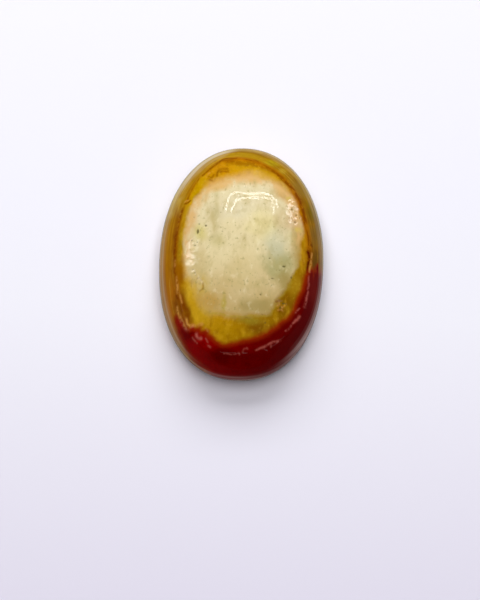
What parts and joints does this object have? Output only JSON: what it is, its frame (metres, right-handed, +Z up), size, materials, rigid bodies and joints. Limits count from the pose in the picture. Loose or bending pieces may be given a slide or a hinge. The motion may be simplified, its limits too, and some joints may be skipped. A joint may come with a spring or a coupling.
{
  "type": "agate cabochon",
  "caption": "Polished oval sulemani agate cabochon with a cream eye, a golden ring and a dark red end, lying on its flat back.",
  "frame": {"origin": "middle of the flat back, on the surface that the stone lies on", "axes": "+Z up through the dome, +Y along the long axis from the dark red end to the amber end, +X to the right of someone facing along +Y"},
  "size_m": [0.015, 0.0218, 0.0066],
  "materials": {
    "polished_agate": "polished agate, cream eye in a golden ring, amber brown at the far end and dark red at the near end"
  },
  "bodies": {
    "root": {"agate_cabochon": "polished_agate"}
  },
  "joints": []
}
